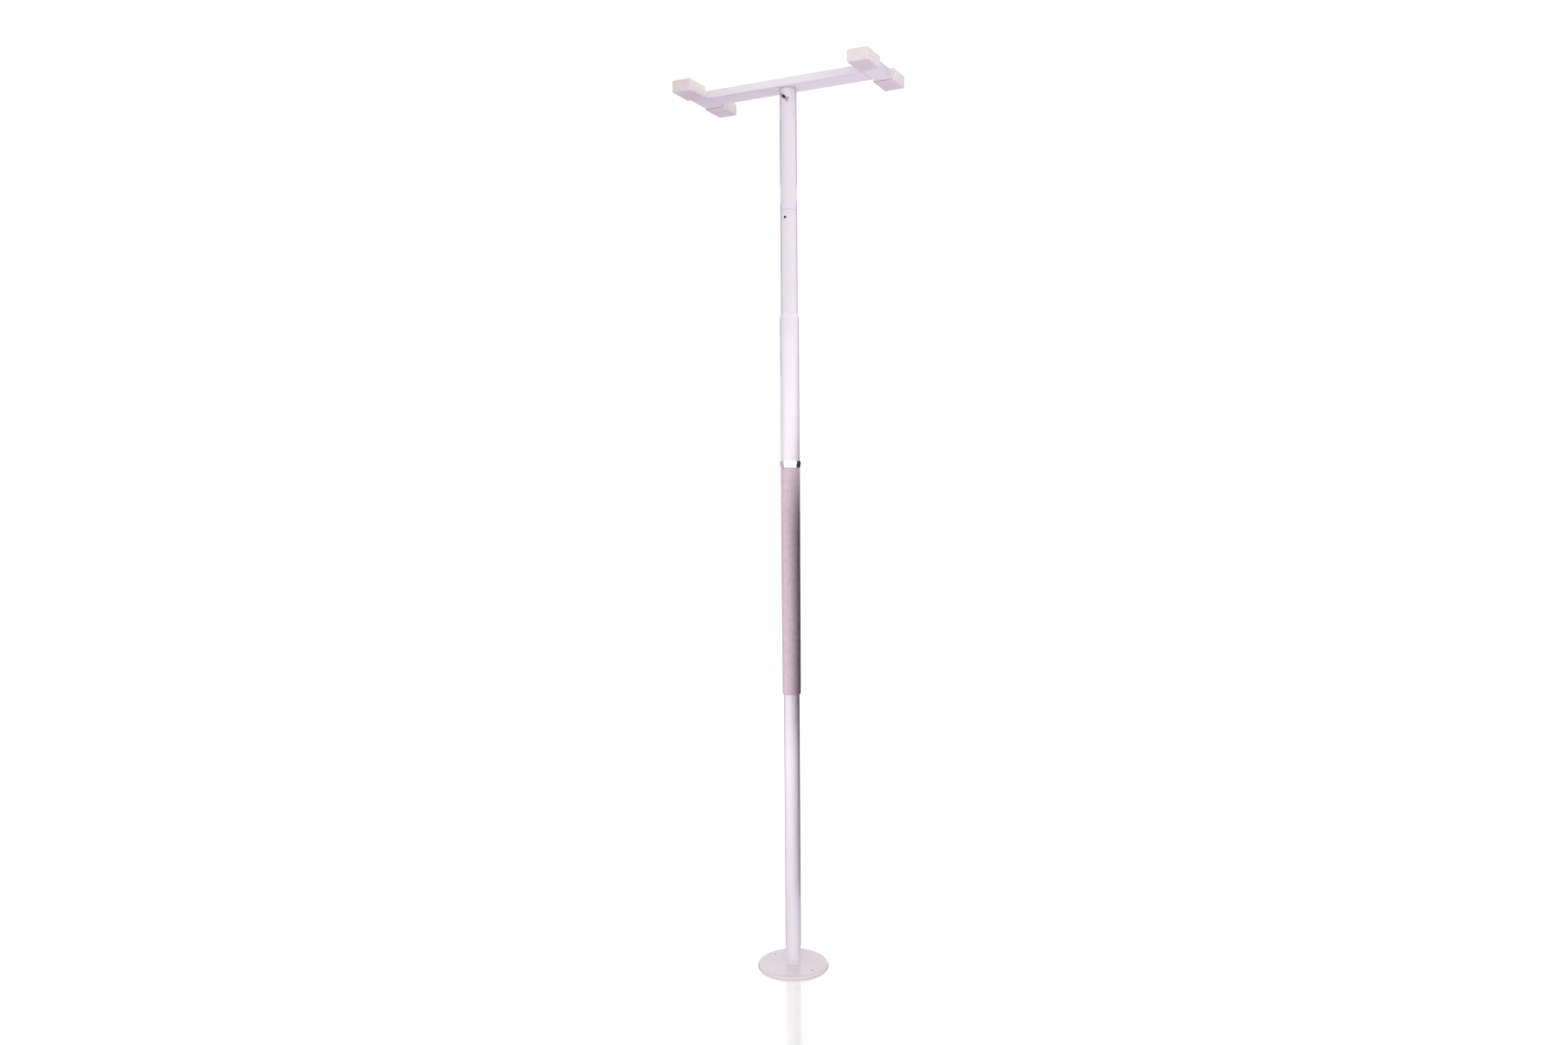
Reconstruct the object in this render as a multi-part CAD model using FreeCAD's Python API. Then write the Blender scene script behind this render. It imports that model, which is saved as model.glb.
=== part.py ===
import FreeCAD, Part
import math
import os

# Floor-to-ceiling grab pole, held between floor and ceiling by a screw jack inside the tube.
# Units are mm. +Z is up, the origin is the centre of the base's underside, the ceiling crossbar
# runs along X and its two end bars along Y. The release button and the split pin face -Y.

V = FreeCAD.Vector

# ---- heights up the pole -------------------------------------------------------------------
Z_TOP = 2134.0            # top of the rubber boots: 84 in, the pole's shortest setting
Z_LOWER_TUBE = 51.0       # lower end of the turning tube, above the bare stub of the spigot
Z_SPIGOT_TOP = 140.0      # top of the base spigot, inside the lower tube
Z_GRIP = (670.0, 1215.5)
Z_COLLAR = 1216.0         # lower tube ends here, under the flange of the collar plug
Z_SLEEVE = (1221.0, 1572.0)
Z_STOP = 1246.0           # top of the collar plug, where the riser rests when wound down
Z_RISER = (1250.0, 1825.0)
Z_BUTTON = 1807.0
Z_SWAGE = 1765.0          # lower end of the top tube's reduced part, inside the riser
Z_BAR = (2108.0, 2127.0)  # underside and top of the ceiling bars
Z_PIN = 2086.0            # clevis pin through the top tube

# ---- base ----------------------------------------------------------------------------------
BASE_R = 86.0
BASE_H = 8.0
PLATE_T = 3.0
RIM_R = 7.0
PAD_R = 82.7
SCREW_PCD = 130.0
SCREW_HOLE_R = 3.0
SCREW_ANGLES = (-20.0, 160.0)
SPIGOT_R = 17.3           # 0.1 mm smaller than the bore of the lower tube
SPIGOT_WALL = 2.5
WELD = 0.9
WASHER_T = 4.0

# ---- turning tube, grip and jack -----------------------------------------------------------
LOWER_R, LOWER_WALL = 19.0, 1.6
PLUG_L = 25.0             # foot plug
GRIP_R = (22.25, 23.25)   # bottom, top: the foam is thinner where the hand has worked it down
COLLAR_LIP_R = 23.9
COLLAR_TOP = 1232.5
COLLAR_CROWN = 15.5       # radius of the crowned band's profile
COLLAR_PEAK_R = 26.3      # where the tangents at the crown's two edges meet
SLEEVE_R, SLEEVE_WALL = 22.5, 1.5
FLANGE_R = 22.0
TAPER_H = 10.0            # visible bevelled end of the sleeve's guide bush
SCREW_R, ROOT_R, JOURNAL_R = 10.0, 7.8, 6.0
LEAD = 5.0                # jack rise for one turn
SCREW_TOP = 1406.0
NUT_L = 30.0

# ---- riser and top tube --------------------------------------------------------------------
TUBE_R, TUBE_WALL = 20.0, 2.0
SWAGE_R, SWAGE_WALL = 17.9, 2.0
BUTTON_R = 3.0
BUTTON_HOLE_R = 3.1
LEAF_T, LEAF_W = 0.8, 10.0
LEAF_Y = 15.0             # outer face of the spring's legs

# ---- ceiling head --------------------------------------------------------------------------
BAR_W, BAR_H, BAR_WALL, BAR_CORNER = 60.0, 19.0, 2.0, 3.0
END_X = 225.0             # centre line of each end bar
END_W = 45.0
END_HALF = 109.5
BOOT_W, BOOT_L, BOOT_H = 52.0, 70.0, 29.0
BOOT_END = 114.0
BOOT_ROUND = 4.0
PIN_R = 3.2
PIN_TAIL, PIN_HEAD = -27.5, 23.0
SPLIT_Y = -23.6
SPLIT_TILT = 39.0         # the split pin's legs point down to the right
WIRE_R = 0.75


# ---- helpers -------------------------------------------------------------------------------
def rod(r, z0, z1):
    return Part.makeCylinder(r, z1 - z0, V(0, 0, z0))


def pipe(r_out, r_in, z0, z1):
    return rod(r_out, z0, z1).cut(rod(r_in, z0 - 1, z1 + 1))


def bar_along(point, direction, r, length):
    """A round bar that starts at point and runs along direction."""
    return Part.makeCylinder(r, length, point, direction)


def lathe(points):
    """A solid turned about Z from (radius, height[, corner radius]) points."""
    edges, first, last = [], None, None
    n = len(points)
    for i in range(n):
        here = V(points[i][0], 0, points[i][1])
        before = V(points[i - 1][0], 0, points[i - 1][1])
        after = V(points[(i + 1) % n][0], 0, points[(i + 1) % n][1])
        round_r = points[i][2] if len(points[i]) > 2 else 0.0
        if round_r:
            a, b = (before - here).normalize(), (after - here).normalize()
            half = a.getAngle(b) / 2
            start = here + a * (round_r / math.tan(half))
            end = here + b * (round_r / math.tan(half))
            middle_way = (a + b).normalize()
            centre = here + middle_way * (round_r / math.sin(half))
            arc = Part.Arc(start, centre - middle_way * round_r, end).toShape()
        else:
            start, end, arc = here, here, None
        if last is not None and (start - last).Length > 1e-6:
            edges.append(Part.makeLine(last, start))
        if first is None:
            first = start
        if arc is not None:
            edges.append(arc)
        last = end
    if (first - last).Length > 1e-6:
        edges.append(Part.makeLine(last, first))
    face = Part.Face(Part.Wire(edges))
    return face.revolve(V(0, 0, 0), V(0, 0, 1), 360)


def block(x0, x1, y0, y1, z0, z1):
    return Part.makeBox(x1 - x0, y1 - y0, z1 - z0, V(x0, y0, z0))


def edges_along(shape, axis):
    """The straight edges that run along one axis (0, 1 or 2)."""
    found = []
    for e in shape.Edges:
        a, b = e.Vertexes[0].Point, e.Vertexes[-1].Point
        d = [abs(b.x - a.x), abs(b.y - a.y), abs(b.z - a.z)]
        if d[axis] > 1e-6 and sum(d) - d[axis] < 1e-6:
            found.append(e)
    return found


def box_section(x0, x1, y0, y1, z0, z1, axis, wall):
    """Rectangular tube with rounded corners, running along X (0) or Y (1)."""
    outer = block(x0, x1, y0, y1, z0, z1)
    outer = outer.makeFillet(BAR_CORNER, edges_along(outer, axis))
    grow = [(x0 - 1, x1 + 1, y0 + wall, y1 - wall), (x0 + wall, x1 - wall, y0 - 1, y1 + 1)][axis]
    inner = block(*grow, z0 + wall, z1 - wall)
    inner = inner.makeFillet(BAR_CORNER - wall, edges_along(inner, axis))
    return outer.cut(inner)


def countersunk(surface_r, tip_r, z, direction, shank_r, head_r):
    """A screw that runs inward from surface_r to tip_r, its head filed flush with the tube."""
    top = V(direction.x * surface_r, direction.y * surface_r, z)
    inward = V(-direction.x, -direction.y, 0)
    depth = head_r - shank_r
    head = Part.makeCone(head_r, shank_r, depth, top, inward)
    shank = bar_along(top, inward, shank_r, surface_r - tip_r)
    screw = head.fuse(shank).removeSplitter()
    return screw.common(rod(surface_r, z - head_r - 1, z + head_r + 1))


# ---- base ----------------------------------------------------------------------------------
def screw_places(z):
    for angle in SCREW_ANGLES:
        a = math.radians(angle)
        yield V(SCREW_PCD / 2 * math.cos(a), SCREW_PCD / 2 * math.sin(a), z)


def base_plate():
    """Pressed steel disc with a rolled rim, drilled for two floor screws."""
    rim_in = BASE_R - PLATE_T
    under = BASE_H - PLATE_T
    plate = lathe([(SPIGOT_R, under), (SPIGOT_R, BASE_H), (BASE_R, BASE_H, RIM_R), (BASE_R, 1.0, 0.8),
                   (rim_in, 1.0, 0.8), (rim_in, under, PLATE_T)])
    for p in screw_places(0):
        plate = plate.cut(bar_along(p, V(0, 0, 1), SCREW_HOLE_R, BASE_H + 1))
    return plate


def base_pad():
    """Rubber sole that fills the plate from below, with ring grooves in its underside."""
    under = BASE_H - PLATE_T
    pad = lathe([(0, 0), (PAD_R, 0, 0.8), (PAD_R, under - 2.0), (PAD_R - 2.7, under), (0, under)])
    for r in (26.0, 42.0, 55.0, 75.0):
        pad = pad.cut(pipe(r + 2.0, r, -1.0, 1.2))
    for p in screw_places(-1):
        pad = pad.cut(bar_along(p, V(0, 0, 1), SCREW_HOLE_R + 1.0, BASE_H))
    return pad


def base_spigot():
    """Stub tube set through the plate, with a small weld fillet at its foot."""
    inner = SPIGOT_R - SPIGOT_WALL
    return lathe([(inner, BASE_H - PLATE_T), (SPIGOT_R, BASE_H - PLATE_T), (SPIGOT_R, BASE_H),
                  (SPIGOT_R + WELD, BASE_H), (SPIGOT_R, BASE_H + WELD), (SPIGOT_R, Z_SPIGOT_TOP),
                  (inner, Z_SPIGOT_TOP)])


def thrust_washer():
    """Flanged nylon washer on top of the spigot; the turning tube bears on it."""
    boss = SPIGOT_R - SPIGOT_WALL
    return lathe([(8, Z_SPIGOT_TOP - 12), (boss, Z_SPIGOT_TOP - 12), (boss, Z_SPIGOT_TOP),
                  (SPIGOT_R - 0.3, Z_SPIGOT_TOP), (SPIGOT_R - 0.3, Z_SPIGOT_TOP + WASHER_T),
                  (8, Z_SPIGOT_TOP + WASHER_T)])


# ---- turning tube, grip and jack -----------------------------------------------------------
SIDES_X = (V(1, 0, 0), V(-1, 0, 0))
SIDES_Y = (V(0, 1, 0), V(0, -1, 0))
PLUG_SCREW_Z = 1198.0
SLEEVE_SCREW_Z = 1227.0
NUT_SCREW_Z = 1266.0


def plug_screws():
    """Two flush screws that hold the lower tube to the collar plug, under the foam."""
    return [countersunk(LOWER_R, 9.0, PLUG_SCREW_Z, d, 2.5, 4.0) for d in SIDES_X]


def sleeve_screws():
    """Two flush screws that hold the sleeve to the collar plug, under the chrome collar."""
    return [countersunk(SLEEVE_R, 13.0, SLEEVE_SCREW_Z, d, 2.0, 3.4) for d in SIDES_Y]


def nut_screws():
    """Two flush screws that hold the jack nut in the riser tube."""
    return [countersunk(TUBE_R, 12.0, NUT_SCREW_Z, d, 2.0, 3.6) for d in SIDES_X]


def lower_tube():
    inner = LOWER_R - LOWER_WALL
    tube = lathe([(inner, Z_LOWER_TUBE), (LOWER_R, Z_LOWER_TUBE, 0.6), (LOWER_R, Z_COLLAR),
                  (inner, Z_COLLAR)])
    for s in plug_screws():
        tube = tube.cut(s)
    return tube


def foot_plug():
    """Steel plug pressed into the tube; it turns on the thrust washer."""
    z0 = Z_SPIGOT_TOP + WASHER_T
    r = LOWER_R - LOWER_WALL
    return lathe([(6, z0), (r, z0, 1.0), (r, z0 + PLUG_L), (6, z0 + PLUG_L)])


def foam_grip():
    z0, z1 = Z_GRIP
    return lathe([(LOWER_R, z0), (GRIP_R[0], z0, 3.0), (GRIP_R[1], z1, 1.6), (LOWER_R, z1)])


def collar_plug():
    """Turned steel plug that joins lower tube, collar, sleeve and jack screw."""
    low, high = LOWER_R - LOWER_WALL, SLEEVE_R - SLEEVE_WALL
    plug = lathe([(JOURNAL_R, 1166), (low, 1166, 1.0), (low, Z_COLLAR), (FLANGE_R, Z_COLLAR),
                  (FLANGE_R, Z_SLEEVE[0]), (high, Z_SLEEVE[0]), (high, Z_STOP), (JOURNAL_R, Z_STOP)])
    for s in plug_screws() + sleeve_screws():
        plug = plug.cut(s)
    return plug.cut(screw_pin())


def screw_pin():
    """Spring pin across the plug that locks the jack screw to it; the tube traps its ends."""
    half = LOWER_R - LOWER_WALL - 0.4
    return bar_along(V(-half, 0, 1179), V(1, 0, 0), 2.5, 2 * half)


def jack_screw():
    """Screw with a plain journal in the plug; its thread is drawn as a stack of rings."""
    points = [(0, 1168), (JOURNAL_R, 1168), (JOURNAL_R, Z_STOP), (SCREW_R, Z_STOP)]
    z = Z_STOP + 4.0
    while z + LEAD < SCREW_TOP:
        points += [(SCREW_R, z), (ROOT_R, z + 0.8), (ROOT_R, z + 2.5), (SCREW_R, z + 3.3)]
        z += LEAD
    points += [(SCREW_R, SCREW_TOP - 2), (SCREW_R - 2, SCREW_TOP), (0, SCREW_TOP)]
    return lathe(points).cut(screw_pin())


def jack_collar():
    """Chrome ring: a crowned band round the sleeve's foot over a thin lip round the plug's flange."""
    band_low = Z_SLEEVE[0] - 0.2
    middle = (band_low + COLLAR_TOP) / 2
    return lathe([(FLANGE_R, Z_COLLAR), (COLLAR_LIP_R, Z_COLLAR, 1.5), (COLLAR_LIP_R, band_low),
                  (COLLAR_PEAK_R, middle, COLLAR_CROWN), (COLLAR_LIP_R, COLLAR_TOP),
                  (SLEEVE_R, COLLAR_TOP), (SLEEVE_R, Z_SLEEVE[0]), (FLANGE_R, Z_SLEEVE[0])])


def outer_sleeve():
    sleeve = pipe(SLEEVE_R, SLEEVE_R - SLEEVE_WALL, *Z_SLEEVE)
    for s in sleeve_screws():
        sleeve = sleeve.cut(s)
    return sleeve


def sleeve_guide():
    """Nylon bush in the mouth of the sleeve; its bevelled end shows above the sleeve."""
    bore, fit = TUBE_R + 0.08, SLEEVE_R - SLEEVE_WALL
    top = Z_SLEEVE[1]
    return lathe([(bore, top - 24), (fit, top - 24), (fit, top), (SLEEVE_R, top), (SLEEVE_R, top + 2),
                  (TUBE_R + 1.1, top + TAPER_H), (bore, top + TAPER_H)])


# ---- riser and top tube --------------------------------------------------------------------
def button_hole(r_from, r_to):
    return bar_along(V(0, -r_from, Z_BUTTON), V(0, 1, 0), BUTTON_HOLE_R, r_from - r_to)


def riser_tube():
    tube = pipe(TUBE_R, TUBE_R - TUBE_WALL, *Z_RISER)
    for s in nut_screws():
        tube = tube.cut(s)
    return tube.cut(button_hole(TUBE_R + 2, TUBE_R - TUBE_WALL - 2))


def jack_nut():
    """Bronze nut in the riser's foot; its bore clears the screw's crests."""
    nut = pipe(TUBE_R - TUBE_WALL, SCREW_R + 0.2, Z_RISER[0], Z_RISER[0] + NUT_L)
    for s in nut_screws():
        nut = nut.cut(s)
    return nut


def riser_guide():
    """Nylon shoe round the riser's foot; it slides in the sleeve and rests on the plug."""
    fit = SLEEVE_R - SLEEVE_WALL - 0.1
    foot = Z_RISER[0]
    return lathe([(SCREW_R + 2, Z_STOP), (fit, Z_STOP), (fit, foot + 22), (TUBE_R, foot + 22),
                  (TUBE_R, foot), (SCREW_R + 2, foot)])


def top_tube():
    """Tube with a reduced lower end that plugs into the riser."""
    shoulder, end = Z_RISER[1] + 0.3, Z_BAR[0] - 0.4
    tube = lathe([(SWAGE_R - SWAGE_WALL, Z_SWAGE), (SWAGE_R, Z_SWAGE, 0.8), (SWAGE_R, shoulder),
                  (TUBE_R, shoulder, 0.6), (TUBE_R, end), (TUBE_R - TUBE_WALL, end),
                  (TUBE_R - TUBE_WALL, shoulder + 8), (SWAGE_R - SWAGE_WALL, shoulder + 1)])
    tube = tube.cut(button_hole(TUBE_R, SWAGE_R - SWAGE_WALL - 2))
    return tube.cut(bar_along(V(0, -30, Z_PIN), V(0, 1, 0), PIN_R + 0.1, 60))


def snap_spring():
    """U-shaped spring strip; its front leg carries the button through a hole."""
    middle = LEAF_Y - LEAF_T / 2
    bend_z, leg_top = Z_BUTTON - 17, Z_BUTTON + 9
    half = LEAF_W / 2
    ring = Part.makeCylinder(LEAF_Y, LEAF_W, V(-half, 0, bend_z), V(1, 0, 0))
    ring = ring.cut(Part.makeCylinder(LEAF_Y - LEAF_T, LEAF_W + 2, V(-half - 1, 0, bend_z), V(1, 0, 0)))
    strip = ring.cut(block(-half - 1, half + 1, -20, 20, bend_z, bend_z + 20))
    for side in (-1, 1):
        y = side * middle
        strip = strip.fuse(block(-half, half, y - LEAF_T / 2, y + LEAF_T / 2, bend_z, leg_top))
    return strip.removeSplitter().cut(button_hole(TUBE_R, LEAF_Y - LEAF_T - 2))


def snap_button():
    """Round button with a domed face, staked behind the spring's front leg."""
    inner = LEAF_Y - LEAF_T - 0.05
    stem = bar_along(V(0, -TUBE_R - 0.2, Z_BUTTON), V(0, 1, 0), BUTTON_R, TUBE_R + 0.2 - inner + 1.2)
    dome = Part.makeSphere(4.2, V(0, -TUBE_R - 1.2 + 4.2, Z_BUTTON))
    nose = bar_along(V(0, -TUBE_R - 2, Z_BUTTON), V(0, 1, 0), BUTTON_R, 2).common(dome)
    stake = bar_along(V(0, -inner, Z_BUTTON), V(0, 1, 0), BUTTON_R + 1.1, 1.2)
    return stem.fuse([nose, stake]).removeSplitter()


# ---- ceiling head --------------------------------------------------------------------------
def head_spigot():
    """Short tube welded under the crossbar; the top tube slips over it and is pinned."""
    spigot = pipe(SWAGE_R, SWAGE_R - SWAGE_WALL, Z_BAR[0] - 68, Z_BAR[0])
    return spigot.cut(bar_along(V(0, -30, Z_PIN), V(0, 1, 0), PIN_R + 0.1, 60))


def split_frame():
    """Direction of the split pin and the normal between its legs, in the XZ plane."""
    t = math.radians(SPLIT_TILT)
    return V(math.cos(t), 0, -math.sin(t)), V(math.sin(t), 0, math.cos(t))


def head_pin():
    """Clevis pin along Y: flat head behind the tube, cross-drilled tail in front."""
    shaft = bar_along(V(0, PIN_TAIL, Z_PIN), V(0, 1, 0), PIN_R, TUBE_R - PIN_TAIL)
    shaft = shaft.makeChamfer(0.8, [shaft.Edges[i] for i in range(len(shaft.Edges))
                                    if shaft.Edges[i].BoundBox.YMax < PIN_TAIL + 0.01])
    head = bar_along(V(0, TUBE_R, Z_PIN), V(0, 1, 0), PIN_R + 2.5, PIN_HEAD - TUBE_R)
    along, _ = split_frame()
    centre = V(0, SPLIT_Y, Z_PIN)
    drill = bar_along(centre - along * 10, along, 2 * WIRE_R + 0.2, 20)
    return shaft.fuse(head).removeSplitter().cut(drill)


def split_pin():
    """Bent wire pin: an eye on the left, two legs through the tail, splayed on the right."""
    along, across = split_frame()
    centre = V(0, SPLIT_Y, Z_PIN)
    pin = Part.makeTorus(2.4, WIRE_R, centre - along * 6.6, V(0, 1, 0))
    for side, spread, length in ((1, 18.0, 13.0), (-1, 12.0, 13.5)):
        start = centre - along * 4.7 + across * (side * 0.92 * WIRE_R)
        knee = centre + along * 4.4 + across * (side * 0.92 * WIRE_R)
        a = math.radians(spread)
        bent = (along * math.cos(a) + across * (side * math.sin(a))).normalize()
        pin = pin.fuse([bar_along(start, along, WIRE_R, (knee - start).Length),
                        Part.makeSphere(WIRE_R, knee), bar_along(knee, bent, WIRE_R, length)])
    return pin


def crossbar():
    reach = END_X - END_W / 2
    return box_section(-reach, reach, -BAR_W / 2, BAR_W / 2, *Z_BAR, 0, BAR_WALL)


def end_bar(side):
    x = side * END_X
    return box_section(x - END_W / 2, x + END_W / 2, -END_HALF, END_HALF, *Z_BAR, 1, BAR_WALL)


def head_welds():
    """Weld fillets in the four inside corners between crossbar and end bars."""
    leg, welds = 4.0, []
    reach = END_X - END_W / 2
    for sx in (-1, 1):
        for sy in (-1, 1):
            x, y = sx * reach, sy * BAR_W / 2
            z = Z_BAR[0] + BAR_CORNER
            tri = Part.makePolygon([V(x, y, z), V(x - sx * leg, y, z), V(x, y + sy * leg, z), V(x, y, z)])
            welds.append(Part.Face(tri).extrude(V(0, 0, BAR_H - 2 * BAR_CORNER)))
    return welds


def boot(side_x, side_y):
    """Rubber boot pushed over an end bar, thicker on top where it meets the ceiling."""
    x = side_x * END_X
    y_far, y_near = side_y * BOOT_END, side_y * (BOOT_END - BOOT_L)
    y0, y1 = min(y_far, y_near), max(y_far, y_near)
    body = block(x - BOOT_W / 2, x + BOOT_W / 2, y0, y1, Z_TOP - BOOT_H, Z_TOP)
    far = [e for e in body.Edges if all(abs(v.Point.y - y_far) < 1e-6 for v in e.Vertexes)]
    body = body.makeFillet(BOOT_ROUND, far + edges_along(body, 1))
    bar = block(x - END_W / 2, x + END_W / 2, -END_HALF, END_HALF, *Z_BAR)
    bar = bar.makeFillet(BAR_CORNER, edges_along(bar, 1))
    body = body.cut(bar)
    for k in range(5):
        y = side_y * (BOOT_END - 14 - 11 * k)
        body = body.cut(block(x - BOOT_W, x + BOOT_W, y - 1.5, y + 1.5, Z_TOP - 1.2, Z_TOP + 1))
    return body


PARTS = {
    "base_plate": base_plate(),
    "base_pad": base_pad(),
    "base_spigot": base_spigot(),
    "thrust_washer": thrust_washer(),
    "lower_tube": lower_tube(),
    "foot_plug": foot_plug(),
    "foam_grip": foam_grip(),
    "collar_plug": collar_plug(),
    "plug_screws": Part.makeCompound(plug_screws()),
    "jack_collar": jack_collar(),
    "jack_screw": jack_screw(),
    "screw_pin": screw_pin(),
    "outer_sleeve": outer_sleeve(),
    "sleeve_screws": Part.makeCompound(sleeve_screws()),
    "sleeve_guide": sleeve_guide(),
    "riser_tube": riser_tube(),
    "jack_nut": jack_nut(),
    "nut_screws": Part.makeCompound(nut_screws()),
    "riser_guide": riser_guide(),
    "top_tube": top_tube(),
    "snap_spring": snap_spring(),
    "snap_button": snap_button(),
    "head_spigot": head_spigot(),
    "head_pin": head_pin(),
    "split_pin": split_pin(),
    "crossbar": crossbar(),
    "end_bar_left": end_bar(-1),
    "end_bar_right": end_bar(1),
    "head_welds": Part.makeCompound(head_welds()),
    "boot_front_left": boot(-1, -1),
    "boot_rear_left": boot(-1, 1),
    "boot_front_right": boot(1, -1),
    "boot_rear_right": boot(1, 1),
}

os.makedirs("parts", exist_ok=True)
for name, shape in PARTS.items():
    if not shape.isValid():
        print("invalid shape", name)
    shape.exportStep("parts/" + name + ".step")
    box = shape.BoundBox
    print("%-18s solids %d  volume %10.1f  z %.1f to %.1f"
          % (name, len(shape.Solids), shape.Volume, box.ZMin, box.ZMax))
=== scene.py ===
import math

import bmesh
import bpy
from mathutils import Matrix, Vector, noise


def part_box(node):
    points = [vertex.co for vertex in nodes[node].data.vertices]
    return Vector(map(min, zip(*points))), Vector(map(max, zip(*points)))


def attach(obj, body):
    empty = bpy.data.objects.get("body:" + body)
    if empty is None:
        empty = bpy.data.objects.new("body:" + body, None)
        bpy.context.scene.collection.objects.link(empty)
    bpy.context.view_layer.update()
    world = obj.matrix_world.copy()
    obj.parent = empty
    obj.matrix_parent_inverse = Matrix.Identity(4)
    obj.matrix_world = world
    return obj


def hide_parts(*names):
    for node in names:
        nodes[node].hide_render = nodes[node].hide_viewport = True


# Floor-to-ceiling grab pole. Metres, +Z up, crossbar along X, release button facing -Y.
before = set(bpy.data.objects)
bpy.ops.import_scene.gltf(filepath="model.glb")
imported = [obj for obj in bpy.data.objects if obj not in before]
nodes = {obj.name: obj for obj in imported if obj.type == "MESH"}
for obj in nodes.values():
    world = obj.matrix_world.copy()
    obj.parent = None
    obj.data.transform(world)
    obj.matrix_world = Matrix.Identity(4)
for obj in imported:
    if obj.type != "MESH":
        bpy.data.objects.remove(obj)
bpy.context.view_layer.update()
MM = 0.001


# ---- camera --------------------------------------------------------------------------------
CAM_AZIMUTH, CAM_PAN, CAM_PITCH, CAM_ROLL = map(math.radians, (26.21, -0.33, 2.80, 0.38))
CAM_DISTANCE, CAM_HEIGHT = 2.7879, 1.2213
SENSOR, LENS = 36.0, 26.674


def make_camera():
    """The camera goes round the pole by its azimuth; pan, pitch and roll then aim it."""
    turn = Matrix.Rotation(CAM_AZIMUTH, 3, "Z")
    forward = turn @ Vector((math.sin(CAM_PAN) * math.cos(CAM_PITCH),
                             math.cos(CAM_PAN) * math.cos(CAM_PITCH), -math.sin(CAM_PITCH)))
    right = forward.cross(Vector((0, 0, 1))).normalized()
    up = right.cross(forward)
    c, s = math.cos(CAM_ROLL), math.sin(CAM_ROLL)
    right, up = right * c - up * s, right * s + up * c
    data = bpy.data.cameras.new("camera")
    data.sensor_width, data.lens = SENSOR, LENS
    data.clip_end = 60
    cam = bpy.data.objects.new("camera", data)
    place = Matrix((right, up, -forward)).transposed().to_4x4()
    place.translation = turn @ Vector((0, -CAM_DISTANCE, CAM_HEIGHT))
    cam.matrix_world = place
    bpy.context.scene.collection.objects.link(cam)
    bpy.context.scene.camera = cam


# ---- materials -----------------------------------------------------------------------------
def srgb(r, g, b):
    """Display values from 0 to 255 as linear light."""
    def one(v):
        v /= 255
        return v / 12.92 if v <= 0.04045 else ((v + 0.055) / 1.055) ** 2.4
    return (one(r), one(g), one(b), 1.0)


class Shader:
    """A Principled material built up from procedural layers, all in the object's own metres."""

    def __init__(self, name, metallic=0.0, roughness=0.4, **sockets):
        self.mat = bpy.data.materials.new(name)
        self.mat.use_nodes = True
        self.tree = self.mat.node_tree
        self.bsdf = self.tree.nodes["Principled BSDF"]
        self.bsdf.inputs["Metallic"].default_value = metallic
        self.bsdf.inputs["Roughness"].default_value = roughness
        for key, value in sockets.items():
            self.bsdf.inputs[key.replace("_", " ")].default_value = value
        self.coords = self.tree.nodes.new("ShaderNodeTexCoord").outputs["Object"]
        self.normal = None

    def node(self, kind, **inputs):
        n = self.tree.nodes.new(kind)
        for key, value in inputs.items():
            if isinstance(value, bpy.types.NodeSocket):
                self.tree.links.new(value, n.inputs[key])
            else:
                n.inputs[key].default_value = value
        return n

    def link(self, a, b):
        self.tree.links.new(a, b)

    def stretched(self, x, y, z):
        m = self.node("ShaderNodeMapping", Vector=self.coords)
        m.inputs["Scale"].default_value = (x, y, z)
        return m.outputs["Vector"]

    def noise(self, scale, detail=3.0, rough=0.5, coords=None):
        return self.node("ShaderNodeTexNoise", Vector=coords or self.coords, Scale=scale,
                         Detail=detail, Roughness=rough).outputs["Fac"]

    def cells(self, scale, coords=None):
        n = self.node("ShaderNodeTexVoronoi", Vector=coords or self.coords, Scale=scale)
        return n.outputs["Distance"]

    def ramp(self, fac, *stops):
        n = self.node("ShaderNodeValToRGB", Fac=fac)
        ramp = n.color_ramp
        while len(ramp.elements) < len(stops):
            ramp.elements.new(0.5)
        for element, (at, colour) in zip(ramp.elements, stops):
            element.position, element.color = at, colour
        return n.outputs["Color"]

    def colour(self, fac, *stops):
        self.link(self.ramp(fac, *stops), self.bsdf.inputs["Base Color"])

    def roughness(self, fac, low, high, start=0.35, end=0.65):
        n = self.node("ShaderNodeMapRange", Value=fac)
        for key, value in (("From Min", start), ("From Max", end), ("To Min", low), ("To Max", high)):
            n.inputs[key].default_value = value
        self.link(n.outputs["Result"], self.bsdf.inputs["Roughness"])

    def bump(self, height, strength, distance):
        n = self.node("ShaderNodeBump", Height=height)
        n.inputs["Strength"].default_value = strength
        n.inputs["Distance"].default_value = distance
        if self.normal is not None:
            self.link(self.normal, n.inputs["Normal"])
        self.normal = n.outputs["Normal"]
        self.link(self.normal, self.bsdf.inputs["Normal"])


def powder_coat(name, light, dark, rough=(0.29, 0.40)):
    """Stoved white enamel: orange peel, faint drift of tint along the tube, a few dull patches."""
    m = Shader(name, Coat_Weight=0.8, Coat_Roughness=0.10, Specular_IOR_Level=0.5)
    drift = m.noise(5.0, 4.0, 0.6, m.stretched(1, 1, 0.35))
    m.colour(drift, (0.3, dark), (0.7, light))
    m.roughness(m.noise(26.0, 5.0, 0.6), rough[0], rough[1])
    m.bump(m.noise(420.0, 2.0, 0.4), 0.10, 0.0004)
    m.bump(m.noise(60.0, 2.0, 0.5), 0.06, 0.0010)
    return m.mat


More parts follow.
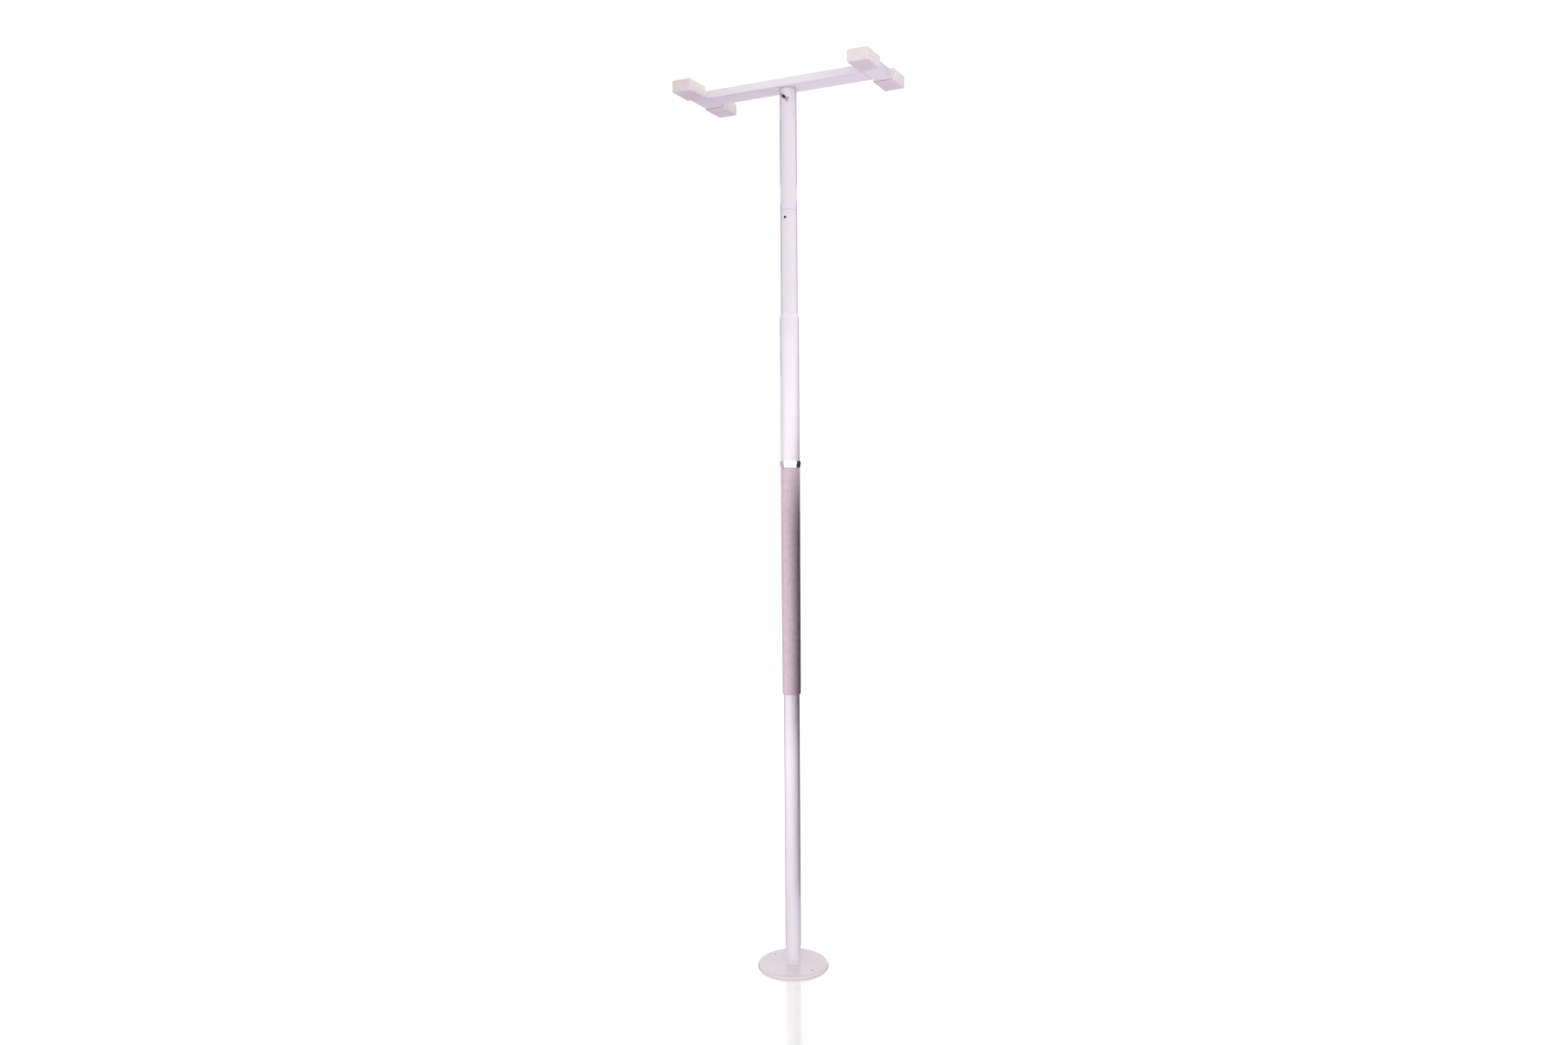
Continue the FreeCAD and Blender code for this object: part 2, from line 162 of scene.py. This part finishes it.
def foam(name):
    """Closed-cell rubber foam: a fine skin of broken cells with a soft sheen."""
    m = Shader(name, roughness=0.8, Sheen_Weight=0.25, Sheen_Roughness=0.4, Specular_IOR_Level=0.35)
    blotch = m.noise(90.0, 5.0, 0.6)
    m.colour(blotch, (0.28, srgb(203, 181, 189)), (0.52, srgb(212, 191, 199)), (0.75, srgb(219, 199, 206)))
    m.roughness(m.noise(120.0, 4.0, 0.6), 0.55, 0.82)
    m.bump(m.cells(1150.0), 0.35, 0.00025)
    m.bump(m.noise(260.0, 5.0, 0.7), 0.30, 0.0004)
    return m.mat


def chrome(name):
    """Bright plating with faint polishing marks that run round the ring."""
    m = Shader(name, metallic=1.0, roughness=0.06)
    m.colour(m.noise(90.0), (0.3, srgb(246, 247, 249)), (0.7, srgb(253, 253, 254)))
    m.roughness(m.noise(300.0, 4.0, 0.6, m.stretched(1, 1, 14)), 0.03, 0.10)
    m.bump(m.noise(160.0, 3.0, 0.5, m.stretched(1, 1, 30)), 0.012, 0.0002)
    return m.mat


def rubber(name, light, dark, low=0.5, high=0.7):
    """Moulded rubber with a matt grain and slightly greyer patches."""
    m = Shader(name, roughness=0.6, Specular_IOR_Level=0.4)
    m.colour(m.noise(34.0, 6.0, 0.6), (0.3, dark), (0.62, light))
    m.roughness(m.noise(200.0, 3.0, 0.5), low, high)
    m.bump(m.noise(900.0, 3.0, 0.6), 0.22, 0.0003)
    m.bump(m.noise(70.0, 2.0, 0.5), 0.08, 0.0010)
    return m.mat


def steel(name, light, dark, low=0.29, high=0.45, metallic=1.0):
    m = Shader(name, metallic=metallic)
    m.colour(m.noise(150.0, 5.0, 0.6), (0.3, dark), (0.7, light))
    m.roughness(m.noise(420.0, 4.0, 0.6), low, high)
    m.bump(m.noise(700.0, 3.0, 0.6), 0.12, 0.0002)
    return m.mat


def nylon(name):
    m = Shader(name, roughness=0.5, Subsurface_Weight=0.0, Specular_IOR_Level=0.45)
    m.colour(m.noise(60.0, 4.0, 0.5), (0.3, srgb(232, 226, 234)), (0.7, srgb(242, 238, 244)))
    m.roughness(m.noise(240.0), 0.38, 0.55)
    m.bump(m.noise(500.0, 2.0, 0.5), 0.10, 0.0003)
    return m.mat


white = powder_coat("white_enamel", srgb(238, 234, 238), srgb(231, 225, 232))
# The lower tube and spigot get a copy of the white enamel a shade darker and more lavender: painted shade,
# not a different paint.
white_painted_shade_low = powder_coat("white_enamel_painted_shade_low", srgb(237, 232, 238), srgb(230, 223, 232))
# The crossbar, end bars, head spigot and welds get a copy of the white enamel brighter and warmer: painted
# light from the soft box above, not a different paint.
white_painted_light_head = powder_coat("white_enamel_painted_light_head", srgb(246, 243, 243), srgb(240, 235, 240))
base_coat = powder_coat("base_enamel", srgb(234, 223, 228), srgb(226, 214, 220), rough=(0.10, 0.20))
foam_skin = foam("grip_foam")
bright = chrome("chrome_plate")
cream = rubber("cream_rubber", srgb(242, 237, 234), srgb(234, 227, 226))
sole = rubber("sole_rubber", srgb(150, 144, 146), srgb(128, 122, 125))
plain_steel = steel("zinc_steel", srgb(190, 189, 190), srgb(165, 164, 166))
dark_steel = steel("dark_steel", srgb(40, 32, 35), srgb(20, 15, 17), 0.3, 0.5, metallic=0.4)
pin_steel = steel("pin_steel", srgb(150, 120, 112), srgb(84, 60, 60), 0.3, 0.5)
bronze = steel("bronze", srgb(190, 150, 90), srgb(160, 118, 66))
white_nylon = nylon("white_nylon")

MATERIAL_OF = {
    white: ("outer_sleeve", "riser_tube", "top_tube"),
    white_painted_shade_low: ("lower_tube", "base_spigot"),
    white_painted_light_head: ("crossbar", "end_bar_left", "end_bar_right", "head_spigot", "head_welds"),
    base_coat: ("base_plate",),
    foam_skin: ("foam_grip",),
    bright: ("jack_collar",),
    cream: ("boot_front_left", "boot_rear_left", "boot_front_right", "boot_rear_right"),
    sole: ("base_pad",),
    plain_steel: ("foot_plug", "collar_plug", "plug_screws", "jack_screw", "screw_pin", "sleeve_screws",
                  "nut_screws", "snap_spring"),
    dark_steel: ("head_pin", "snap_button"),
    pin_steel: ("split_pin",),
    bronze: ("jack_nut",),
    white_nylon: ("thrust_washer", "sleeve_guide", "riser_guide"),
}


def paint_cad():
    for mat, names in MATERIAL_OF.items():
        for name in names:
            slots = nodes[name].data.materials
            slots.clear()
            slots.append(mat)


# ---- mesh helpers --------------------------------------------------------------------------
def add_piece(name, verts, faces, mat, body, replaced=()):
    mesh = bpy.data.meshes.new(name)
    mesh.from_pydata([tuple(v) for v in verts], [], faces)
    bm = bmesh.new()
    bm.from_mesh(mesh)
    bmesh.ops.recalc_face_normals(bm, faces=bm.faces)
    bm.to_mesh(mesh)
    bm.free()
    mesh.materials.append(mat)
    mesh.shade_smooth()
    obj = bpy.data.objects.new(name, mesh)
    bpy.context.scene.collection.objects.link(obj)
    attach(obj, body)
    if replaced:
        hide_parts(*replaced)
    return obj


def skin_rings(rings, closed=False):
    """Faces between rings of equal length; capped at both ends, or joined last to first."""
    count = len(rings[0])
    verts = [v for ring in rings for v in ring]
    faces = []
    last = len(rings) if closed else len(rings) - 1
    for i in range(last):
        a, b = i * count, ((i + 1) % len(rings)) * count
        for k in range(count):
            n = (k + 1) % count
            faces.append((a + k, a + n, b + n, b + k))
    if not closed:
        faces.append(tuple(range(count - 1, -1, -1)))
        top = (len(rings) - 1) * count
        faces.append(tuple(range(top, top + count)))
    return verts, faces


def sweep(path, radii, sides=16):
    """A round bar along a path of points, with its radius at each."""
    rings = []
    normal = None
    for i, p in enumerate(path):
        ahead = path[min(i + 1, len(path) - 1)] - path[max(i - 1, 0)]
        t = ahead.normalized()
        if normal is None:
            helper = Vector((0, 0, 1)) if abs(t.z) < 0.9 else Vector((1, 0, 0))
            normal = t.cross(helper).normalized()
        else:
            normal = (normal - t * normal.dot(t)).normalized()
        side = t.cross(normal)
        rings.append([p + (normal * math.cos(a) + side * math.sin(a)) * radii[i]
                      for a in (2 * math.pi * k / sides for k in range(sides))])
    return skin_rings(rings)


def lathe_rings(profile, sides):
    """Rings about Z from (radius, height) points; the profile closes on itself."""
    return [[Vector((r * math.cos(a), r * math.sin(a), z))
             for a in (2 * math.pi * k / sides for k in range(sides))] for r, z in profile]


def arc_points(centre, radius, start, end, steps):
    """(r, z) points on an arc, angles in degrees from the outward direction."""
    return [(centre[0] + radius * math.cos(math.radians(start + (end - start) * i / steps)),
             centre[1] + radius * math.sin(math.radians(start + (end - start) * i / steps)))
            for i in range(steps + 1)]


# ---- foam grip -----------------------------------------------------------------------------
GRIP_BORE_R, GRIP_BOTTOM_R, GRIP_TOP_R = 19.05 * MM, 22.25 * MM, 23.25 * MM
BOTTOM_LIP, TOP_LIP = 3.0 * MM, 1.6 * MM       # radii of the rounded ends
GRIP_ROWS, GRIP_SIDES = 96, 96
SOFT_SWELL, FINE_SWELL = 0.16 * MM, 0.05 * MM  # how far the foam's surface wanders


def grip_profile(z0, z1):
    """(radius, height) points round the sleeve's wall, from the bore out and up."""
    profile = [(GRIP_BORE_R, z0 + 0.6 * MM), (GRIP_BORE_R + 0.6 * MM, z0)]
    profile += arc_points((GRIP_BOTTOM_R - BOTTOM_LIP, z0 + BOTTOM_LIP), BOTTOM_LIP, -90, 0, 8)
    straight = z1 - TOP_LIP - z0 - BOTTOM_LIP
    for i in range(1, GRIP_ROWS):
        t = i / GRIP_ROWS
        profile.append((GRIP_BOTTOM_R + (GRIP_TOP_R - GRIP_BOTTOM_R) * t, z0 + BOTTOM_LIP + straight * t))
    profile += arc_points((GRIP_TOP_R - TOP_LIP, z1 - TOP_LIP), TOP_LIP, 0, 90, 6)
    return profile + [(GRIP_BORE_R + 0.5 * MM, z1), (GRIP_BORE_R, z1 - 0.5 * MM)]


def make_grip():
    """Sleeve that widens a little towards the top, with the slight unevenness of moulded foam."""
    low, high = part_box("foam_grip")
    profile = grip_profile(low.z, high.z)
    rings = lathe_rings(profile, GRIP_SIDES)
    for ring, (r, _) in zip(rings, profile):
        if r < GRIP_BORE_R + 1.5 * MM:
            continue
        for v in ring:
            soft = noise.noise(Vector((v.x * 30, v.y * 30, v.z * 9)))
            fine = noise.noise(Vector((v.x * 120, v.y * 120, v.z * 60)))
            grow = 1 + (SOFT_SWELL * soft + FINE_SWELL * fine) / r
            v.x *= grow
            v.y *= grow
    verts, faces = skin_rings(rings, closed=True)
    grip = add_piece("grip_sleeve", verts, faces, foam_skin, "turning_grip", ["foam_grip"])


# ---- rubber boots --------------------------------------------------------------------------
def rounded_rect(half_w, half_h, corner, steps=6):
    """Points round a rectangle with rounded corners, centred on zero."""
    points = []
    for qx, qz, start in ((1, 1, 0), (-1, 1, 90), (-1, -1, 180), (1, -1, 270)):
        for i in range(steps + 1):
            a = math.radians(start + 90 * i / steps)
            points.append((qx * (half_w - corner) + corner * math.cos(a),
                           qz * (half_h - corner) + corner * math.sin(a)))
    return points


BOOT_DOME, BOOT_CORNER = 3.6 * MM, 3.6 * MM
BEAD_PROUD, BEAD_LENGTH = 0.5 * MM, 8.0 * MM
GROOVES, GROOVE_FIRST, GROOVE_PITCH = 5, 14.0 * MM, 11.0 * MM
GROOVE_DEPTH, GROOVE_HALF, GROOVE_EASE = 1.2 * MM, 1.5 * MM, 0.4 * MM


def boot_sections(length):
    """(distance from the closed end, how far the outline shrinks, whether it lies in a groove)."""
    sections = []
    for i in range(9):
        a = math.radians(90 * i / 8)
        sections.append((BOOT_DOME * (1 - math.cos(a)), BOOT_DOME * (1 - math.sin(a)), False))
    for k in range(GROOVES):
        middle = GROOVE_FIRST + GROOVE_PITCH * k
        sections += [(middle + side * (GROOVE_HALF + ease), 0.0, ease == 0.0)
                     for side, ease in ((-1, GROOVE_EASE), (-1, 0.0), (1, 0.0), (1, GROOVE_EASE))]
    for before_mouth, shrink in ((3.0 * MM, 0.0), (0.9 * MM, 0.0), (0.3 * MM, 0.3 * MM), (0.0, 0.9 * MM)):
        sections.append((length - before_mouth, shrink, False))
    return sections


def make_boot(name, side_x, side_y):
    """Moulded boot: rounded end, a bead round its mouth, grip grooves on top and a pocket."""
    low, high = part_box(name)
    bar_low, bar_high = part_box("end_bar_left" if side_x < 0 else "end_bar_right")
    cx, cz = (low.x + high.x) / 2, (low.z + high.z) / 2
    half_w, half_h = (high.x - low.x) / 2, (high.z - low.z) / 2
    far, inward = (low.y, 1) if side_y < 0 else (high.y, -1)
    length = high.y - low.y
    rings = []
    for d, shrink, deep in boot_sections(length):
        bead = BEAD_PROUD * max(0.0, 1 - max(0.0, length - 3 * MM - d) / BEAD_LENGTH)
        w, h = half_w - shrink - BEAD_PROUD + bead, half_h - shrink
        ring = []
        for px, pz in rounded_rect(w, h, BOOT_CORNER - 0.5 * shrink):
            if deep:
                pz = min(pz, h - GROOVE_DEPTH)
            ring.append(Vector((cx + px, far + inward * d, cz + pz)))
        rings.append(ring)
    gap = 0.25 * MM
    pocket_w, pocket_h = (bar_high.x - bar_low.x) / 2 + gap, (bar_high.z - bar_low.z) / 2 + gap
    pocket_z = (bar_low.z + bar_high.z) / 2
    for d, flare in ((length, 0.6 * MM), (length - 0.7 * MM, 0.0), (5.0 * MM, 0.0)):
        rings.append([Vector((cx + px, far + inward * d, pocket_z + pz))
                      for px, pz in rounded_rect(pocket_w + flare, pocket_h + flare, 3.0 * MM)])
    verts, faces = skin_rings(rings)
    piece_name = name.replace("boot", "rubber_boot")
    boot = add_piece(piece_name, verts, faces, cream, "riser", [name])
    sharpen(boot, 38)


def sharpen(obj, degrees):
    """Flat shading breaks only across edges steeper than this."""
    mesh = obj.data
    bm = bmesh.new()
    bm.from_mesh(mesh)
    limit = math.radians(degrees)
    for e in bm.edges:
        if len(e.link_faces) == 2 and e.calc_face_angle(0) > limit:
            e.smooth = False
    bm.to_mesh(mesh)
    bm.free()


# ---- welds ---------------------------------------------------------------------------------
CORNER_BEAD_R, SEAM_BEAD_R = 2.6 * MM, 2.1 * MM
RIPPLE_PITCH = 2.4 * MM
SUNK = 0.6 * MM           # how far a corner bead's centre line lies from the corner


def bead_points(a, b, radius, pitch, seed):
    """Centre line and radii of a weld bead: overlapping ripples, tapering off at its ends."""
    length = (b - a).length
    steps = max(12, int(length / (pitch / 6)))
    path, radii = [], []
    for i in range(steps + 1):
        t = i / steps
        ripple = abs(math.sin(math.pi * t * length / pitch))
        wander = noise.noise(Vector((seed, t * length * 300, 0.5)))
        ends = math.sqrt(max(0.0, min(1.0, t * length / radius, (1 - t) * length / radius)))
        path.append(a.lerp(b, t))
        radii.append(max(0.02 * MM, radius * ends * (0.86 + 0.16 * ripple + 0.06 * wander)))
    return path, radii


def make_welds():
    """Beads in the corners between crossbar and end bars, and along the seams above and below."""
    bar_low, bar_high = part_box("crossbar")
    verts, faces = [], []
    seed = 0.0

    def bead(a, b, radius):
        nonlocal seed
        seed += 7.3
        v, f = sweep(*bead_points(Vector(a), Vector(b), radius, RIPPLE_PITCH, seed), sides=14)
        faces.extend(tuple(k + len(verts) for k in face) for face in f)
        verts.extend(v)

    corner_low, corner_high = bar_low.z + 1.4 * MM, bar_high.z - 1.4 * MM
    for x in (bar_low.x, bar_high.x):
        corner_x = x + (SUNK if x < 0 else -SUNK)
        for y in (bar_low.y, bar_high.y):
            corner_y = y + (-SUNK if y < 0 else SUNK)
            bead((corner_x, corner_y, corner_low), (corner_x, corner_y, corner_high), CORNER_BEAD_R)
        for z in (bar_low.z + 1.5 * MM, bar_high.z - 1.5 * MM):
            bead((x, bar_low.y + 2 * MM, z), (x, bar_high.y - 2 * MM, z), SEAM_BEAD_R)
    add_piece("weld_beads", verts, faces, white_painted_light_head, "riser", ["head_welds"])


# ---- split pin -----------------------------------------------------------------------------
PIN_TILT = math.radians(39)
WIRE_R, EYE_R, EYE_AT = 0.75 * MM, 2.5 * MM, 6.6 * MM
# Each leg's route in mm: along the pin and across it, from where the legs part.
UPPER_LEG = [(16.6, 4.65), (13.0, 3.5), (9.4, 2.3), (6.4, 1.3), (4.9, 0.85), (3.6, 0.72), (0.0, 0.72),
             (-3.2, 0.72)]
LOWER_LEG = [(-3.2, -0.72), (0.0, -0.72), (3.6, -0.72), (4.9, -0.82), (8.0, -1.4), (12.6, -2.4),
             (17.4, -3.4)]


def make_split_pin():
    """One wire bent double: an eye on the left, two legs through the clevis pin, splayed apart."""
    low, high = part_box("split_pin")
    pin_low, pin_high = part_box("head_pin")
    centre = Vector((0, (low.y + high.y) / 2, (pin_low.z + pin_high.z) / 2))
    along = Vector((math.cos(PIN_TILT), 0, -math.sin(PIN_TILT)))
    across = Vector((math.sin(PIN_TILT), 0, math.cos(PIN_TILT)))
    eye = centre - along * EYE_AT
    points = [centre + along * u * MM + across * v * MM for u, v in UPPER_LEG]
    for i in range(1, 15):
        a = math.radians(30 + 300 * i / 15)
        points.append(eye + (along * math.cos(a) + across * math.sin(a)) * EYE_R)
    points += [centre + along * u * MM + across * v * MM for u, v in LOWER_LEG]
    path = smooth_path(points, 5)
    radii = [WIRE_R] * len(path)
    for k, share in ((0, 0.35), (1, 0.8), (-1, 0.35), (-2, 0.8)):
        radii[k] = WIRE_R * share
    verts, faces = sweep(path, radii, sides=14)
    add_piece("cotter_pin", verts, faces, pin_steel, "riser", ["split_pin"])


def smooth_path(points, per_span):
    """Catmull-Rom curve through the points."""
    path = []
    for i in range(len(points) - 1):
        p0, p1, p2 = points[max(i - 1, 0)], points[i], points[i + 1]
        p3 = points[min(i + 2, len(points) - 1)]
        for k in range(per_span):
            t = k / per_span
            path.append(0.5 * ((2 * p1) + (p2 - p0) * t + (2 * p0 - 5 * p1 + 4 * p2 - p3) * t ** 2
                               + (3 * p1 - p0 - 3 * p2 + p3) * t ** 3))
    path.append(points[-1])
    return path


# ---- floor and light -----------------------------------------------------------------------
FLOOR_HALF = 12.0
# The light tent's colours: a bright band above the horizon, dim overhead, lavender straight below,
# and just below the horizon a ring that depends on the degrees to the right of straight behind.
BAND = (0.97, 0.96, 0.98, 1)
ABOVE = (0.50, 0.48, 0.50, 1)
NADIR = (0.64, 0.56, 0.69, 1)
RING = [(-180, (0.93, 0.90, 0.93)), (-110, (0.80, 0.76, 0.81)), (-75, (0.45, 0.42, 0.45)),
        (-62, (0.20, 0.17, 0.19)), (-10, (0.20, 0.17, 0.19)), (0, (0.90, 0.88, 0.90)),
        (18, (0.90, 0.88, 0.90)), (28, (0.06, 0.04, 0.05)), (80, (0.06, 0.04, 0.05)),
        (112, (0.25, 0.22, 0.24)), (135, (0.80, 0.77, 0.80)), (180, (0.93, 0.90, 0.93))]
TO_CAMERA = Vector((math.sin(CAM_AZIMUTH), -math.cos(CAM_AZIMUTH), 0))
TO_RIGHT = Vector((math.cos(CAM_AZIMUTH), math.sin(CAM_AZIMUTH), 0))


def studio(right, away, z=0.0):
    """A place in the studio: metres to the right of the pole and away behind it, as first seen."""
    return TO_RIGHT * right - TO_CAMERA * away + Vector((0, 0, z))


def make_floor():
    """White floor that mirrors the pole faintly at low angles and is plain when seen from above."""
    mesh = bpy.data.meshes.new("floor")
    s = FLOOR_HALF
    mesh.from_pydata([(-s, -s, 0), (s, -s, 0), (s, s, 0), (-s, s, 0)], [], [(0, 1, 2, 3)])
    m = Shader("floor_gloss", metallic=1.0, roughness=0.16, Emission_Strength=0.30)
    m.bsdf.inputs["Emission Color"].default_value = (1, 1, 1, 1)
    m.colour(m.noise(0.6, 2.0), (0.3, (0.71, 0.74, 0.67, 1)), (0.7, (0.73, 0.76, 0.69, 1)))
    facing = m.node("ShaderNodeLayerWeight", Blend=0.5).outputs["Facing"]
    gloss_share = m.ramp(facing, (0.34, (0, 0, 0, 1)), (0.52, (1, 1, 1, 1)))
    plain = m.node("ShaderNodeEmission", Strength=0.97)
    mix = m.tree.nodes.new("ShaderNodeMixShader")
    for k, socket in enumerate((gloss_share, plain.outputs[0], m.bsdf.outputs[0])):
        m.link(socket, mix.inputs[k])
    m.link(mix.outputs[0], m.tree.nodes["Material Output"].inputs["Surface"])
    m.mat.cycles.emission_sampling = "NONE"
    mesh.materials.append(m.mat)
    floor = bpy.data.objects.new("floor", mesh)
    bpy.context.scene.collection.objects.link(floor)
    floor.visible_diffuse = False
    floor.visible_glossy = False


def curved_screen(name, radius, span, heights, colour, glow=0.0, **seen_by):
    """Cloth bent round the pole, out of the camera's sight. Degrees go right from the camera."""
    steps = 24
    verts = []
    for i in range(steps + 1):
        a = math.radians(span[0] + (span[1] - span[0]) * i / steps)
        for z in heights:
            verts.append(tuple(studio(radius * math.sin(a), -radius * math.cos(a), z)))
    faces = [(2 * i, 2 * i + 2, 2 * i + 3, 2 * i + 1) for i in range(steps)]
    mesh = bpy.data.meshes.new(name)
    mesh.from_pydata(verts, [], faces)
    m = Shader(name + "_cloth", roughness=1.0, Specular_IOR_Level=0.0, Emission_Strength=glow)
    m.bsdf.inputs["Emission Color"].default_value = (1, 1, 1, 1)
    m.colour(m.noise(3.0), (0.3, tuple(0.9 * c for c in colour) + (1,)), (0.7, colour + (1,)))
    mesh.materials.append(m.mat)
    screen = bpy.data.objects.new(name, mesh)
    screen.visible_camera = False
    for ray, value in seen_by.items():
        setattr(screen, "visible_" + ray, value)
    bpy.context.scene.collection.objects.link(screen)


def make_screens():
    """Flags hold light off one side of the pole; cards only show as reflections in it."""
    flag = {"glossy": False}
    card = {"diffuse": False, "shadow": False}
    dark, grey = (0.11, 0.09, 0.10), (0.30, 0.26, 0.32)
    curved_screen("flag_grip", 0.16, (-9, 150), (0.60, 1.20), dark, **flag)
    curved_screen("flag_foot", 0.18, (24, 150), (0.22, 0.60), dark, **flag)
    curved_screen("flag_left", 0.27, (-178, -80), (0.60, 1.18), grey, **flag)
    curved_screen("flag_head", 0.50, (-112, -48), (1.98, 2.36), (0.80, 0.78, 0.80), **flag)
    curved_screen("edge_card", 0.35, (112, 248), (0.78, 1.92), (0.03, 0.02, 0.03), **card)
    curved_screen("top_edge_card", 1.0, (112, 248), (2.12, 2.50), (0.03, 0.02, 0.03), **card)
    curved_screen("ring_white", 0.25, (-68, 70), (0.90, 1.55), (0.9, 0.9, 0.9), 1.0, **card)
    curved_screen("ring_dark", 0.25, (78, 118), (0.95, 1.50), (0.06, 0.05, 0.08), **card)
    curved_screen("ring_grey", 0.20, (-145, -80), (1.00, 1.45), (0.82, 0.78, 0.87), **card)


def area_light(name, where, aim, size, power, colour=(1, 1, 1), beam=180):
    data = bpy.data.lights.new(name, "AREA")
    data.shape = "RECTANGLE"
    data.size, data.size_y = size
    data.energy, data.color, data.spread = power, colour, math.radians(beam)
    light = bpy.data.objects.new(name, data)
    light.location = where
    light.rotation_euler = (Vector(aim) - Vector(where)).to_track_quat("-Z", "Y").to_euler()
    light.visible_camera = light.visible_glossy = False
    bpy.context.scene.collection.objects.link(light)


def make_light():
    """Light tent round the pole, a warm soft box high in front and one low at the front left.

    The tent is lavender below and has dark strips that draw the edges. The camera sees plain white."""
    world = bpy.data.worlds.new("studio")
    world.use_nodes = True
    tree = world.node_tree
    background = tree.nodes["Background"]
    direction = tree.nodes.new("ShaderNodeTexCoord").outputs["Generated"]

    def along(axis):
        dot = tree.nodes.new("ShaderNodeVectorMath")
        dot.operation = "DOT_PRODUCT"
        tree.links.new(direction, dot.inputs[0])
        dot.inputs[1].default_value = axis
        return dot.outputs["Value"]

    def spread(value, low, high):
        n = tree.nodes.new("ShaderNodeMapRange")
        n.inputs["From Min"].default_value, n.inputs["From Max"].default_value = low, high
        tree.links.new(value, n.inputs["Value"])
        return n.outputs["Result"]

    def mix(fac, a, b):
        n = tree.nodes.new("ShaderNodeMix")
        n.data_type = "RGBA"
        tree.links.new(fac, n.inputs["Factor"])
        for value, socket in ((a, n.inputs[6]), (b, n.inputs[7])):
            if isinstance(value, tuple):
                socket.default_value = value
            else:
                tree.links.new(value, socket)
        return n.outputs[2]

    angle = tree.nodes.new("ShaderNodeMath")
    angle.operation = "ARCTAN2"
    tree.links.new(along(TO_RIGHT), angle.inputs[0])
    tree.links.new(along(-TO_CAMERA), angle.inputs[1])
    ramp = tree.nodes.new("ShaderNodeValToRGB")
    tree.links.new(spread(angle.outputs[0], -math.pi, math.pi), ramp.inputs["Fac"])
    elements = ramp.color_ramp.elements
    while len(elements) < len(RING):
        elements.new(0.5)
    for element, (degrees, level) in zip(elements, RING):
        element.position = (degrees + 180) / 360
        element.color = (level[0], level[1], level[2], 1)
    height = along(Vector((0, 0, 1)))
    below = mix(spread(height, -0.35, -0.65), ramp.outputs["Color"], NADIR)
    above = mix(spread(height, 0.55, 0.90), BAND, ABOVE)
    tent = mix(spread(height, -0.02, 0.02), below, above)
    seen = tree.nodes.new("ShaderNodeLightPath").outputs["Is Camera Ray"]
    tree.links.new(mix(seen, tent, (1.0, 1.0, 1.0, 1)), background.inputs["Color"])
    background.inputs["Strength"].default_value = 1.10
    bpy.context.scene.world = world
    area_light("key_high", studio(1.0, -1.9, 2.2), (0, 0, 1.8), (0.8, 0.8), 5, (1.0, 0.98, 0.88))
    area_light("key_low", studio(-0.45, -1.4, 0.80), (0, 0, 0.76), (0.6, 0.6), 1.4, (1.0, 0.98, 0.98),
               beam=60)
    area_light("lift", studio(1.1, -0.2, 0.5), (0.2, 0, 2.1), (0.6, 0.6), 5, (0.95, 0.86, 1.0))


make_camera()
paint_cad()
make_grip()
for side_x, side in ((-1, "left"), (1, "right")):
    for side_y, end in ((-1, "front"), (1, "rear")):
        make_boot("boot_%s_%s" % (end, side), side_x, side_y)
make_welds()
make_split_pin()
make_floor()
make_screens()
make_light()
bpy.context.scene.view_settings.view_transform = "Standard"
